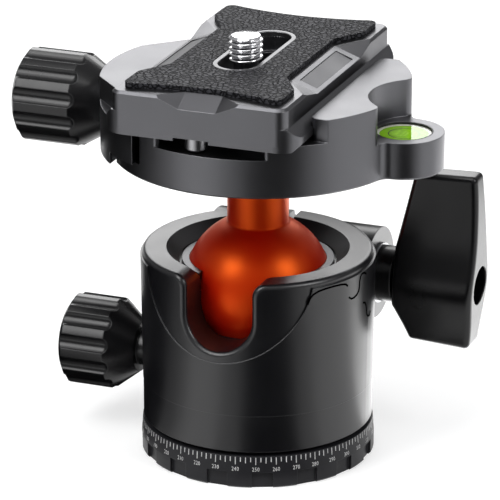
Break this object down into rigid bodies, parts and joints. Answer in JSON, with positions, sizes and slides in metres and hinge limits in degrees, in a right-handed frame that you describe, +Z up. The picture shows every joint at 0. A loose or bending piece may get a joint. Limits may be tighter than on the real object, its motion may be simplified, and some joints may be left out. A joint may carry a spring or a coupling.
{
  "type": "tripod ball head",
  "caption": "Tripod ball head: lever-locked collar with a drop notch, orange ball, panning base with scale, dovetail clamp with knob and bubble level, and a quick-release plate.",
  "frame": {"origin": "centre of the base's underside, on the axis of the tripod thread", "axes": "+Z up along the tripod thread and the camera screw, -Y the side with the drop notch, +X the lever's side, -X the side of the two round knobs; the plate's long side runs along Y"},
  "size_m": [0.0861, 0.0566, 0.0828],
  "materials": {
    "black_anodised": "satin black anodised aluminium",
    "black_moulding": "satin black moulded plastic",
    "orange_anodised": "glossy orange anodised aluminium",
    "grey_anodised": "satin gunmetal anodised aluminium",
    "plain_steel": "turned steel",
    "bright_steel": "polished nickel plate",
    "brass": "turned brass",
    "pad_rubber": "grained black rubber",
    "white_nylon": "natural acetal",
    "black_nylon": "black nylon",
    "level_green": "green-yellow level liquid",
    "level_clear": "clear acrylic"
  },
  "bodies": {
    "base": {"pan_base": "black_anodised", "thread_insert": "plain_steel", "pan_washer": "white_nylon"},
    "collar": {"housing": "black_anodised", "cup_spring": "plain_steel", "ball_cup": "black_nylon", "seat_ring": "black_nylon", "lock_nut": "plain_steel", "drum_keeper": "plain_steel"},
    "thrust_washer": {"lock_washer": "plain_steel"},
    "lock_handle": {"lever": "black_moulding", "lever_collar": "black_anodised", "lock_stud": "plain_steel", "lever_screw": "plain_steel"},
    "pan_brake": {"pan_brake_pad": "brass"},
    "pan_knob": {"pan_lock_knob": "black_moulding", "pan_lock_stud": "plain_steel"},
    "ball_stem": {"ball": "orange_anodised"},
    "clamp": {"clamp_body": "grey_anodised", "clamp_bolt": "plain_steel", "guide_pins": "plain_steel", "jaw_springs": "plain_steel", "level_cup": "white_nylon", "level_liquid": "level_green", "level_bubble": "level_clear", "level_window": "level_clear"},
    "sliding_jaw": {"jaw": "grey_anodised", "jaw_washer": "plain_steel"},
    "jaw_knob": {"clamp_knob": "black_moulding", "clamp_stud": "plain_steel"},
    "quick_plate": {"plate": "grey_anodised", "plate_pad": "pad_rubber", "stop_screws": "plain_steel"},
    "screw_carriage": {"screw_washer": "black_nylon"},
    "screw": {"camera_screw": "bright_steel"}
  },
  "joints": [
    {"name": "pan", "type": "hinge", "parent": "base", "child": "collar", "pos_m": [0, 0, 0], "axis": [0, 0, 1], "continuous": true},
    {"name": "lock_advance", "type": "slide", "parent": "collar", "child": "thrust_washer", "axis": [1, 0, 0], "range_m": [0, 0.0006]},
    {"name": "lock_lever", "type": "hinge", "parent": "thrust_washer", "child": "lock_handle", "pos_m": [0.0185, 0.0174, 0.0312], "axis": [1, 0, 0], "range_deg": [0, 270]},
    {"name": "pan_brake_slide", "type": "slide", "parent": "collar", "child": "pan_brake", "axis": [1, 0, 0], "range_m": [-0.0004, 0.000266]},
    {"name": "pan_lock_turn", "type": "hinge", "parent": "pan_brake", "child": "pan_knob", "pos_m": [-0.0146, 0, 0.0164], "axis": [1, 0, 0], "range_deg": [-180, 120]},
    {"name": "ball_tilt", "type": "hinge", "parent": "collar", "child": "ball_stem", "pos_m": [0, 0, 0.0325], "axis": [1, 0, 0], "range_deg": [-20, 90]},
    {"name": "ball_swivel", "type": "hinge", "parent": "ball_stem", "child": "clamp", "pos_m": [0, 0, 0.0593], "axis": [0, 0, 1], "continuous": true},
    {"name": "jaw_slide", "type": "slide", "parent": "clamp", "child": "sliding_jaw", "axis": [-1, 0, 0], "range_m": [0, 0.003], "deforming": ["jaw_springs"]},
    {"name": "clamp_knob_turn", "type": "hinge", "parent": "sliding_jaw", "child": "jaw_knob", "pos_m": [-0.0284, 0, 0.065], "axis": [-1, 0, 0], "range_deg": [0, 1350]},
    {"name": "plate_slide", "type": "slide", "parent": "clamp", "child": "quick_plate", "axis": [0, 1, 0], "range_m": [-0.0048, 0.0048]},
    {"name": "screw_slide", "type": "slide", "parent": "quick_plate", "child": "screw_carriage", "axis": [0, 1, 0], "range_m": [-0.0041, 0.0131]},
    {"name": "camera_screw_turn", "type": "hinge", "parent": "screw_carriage", "child": "screw", "pos_m": [-0.001, -0.0037, 0.0726], "axis": [0, 0, 1], "continuous": true}
  ],
  "couplings": [
    {"joint": "lock_lever", "follows": "lock_advance", "rad_per_m": 7854},
    {"joint": "pan_lock_turn", "follows": "pan_brake_slide", "rad_per_m": 7854},
    {"joint": "clamp_knob_turn", "follows": "jaw_slide", "rad_per_m": 7854}
  ]
}
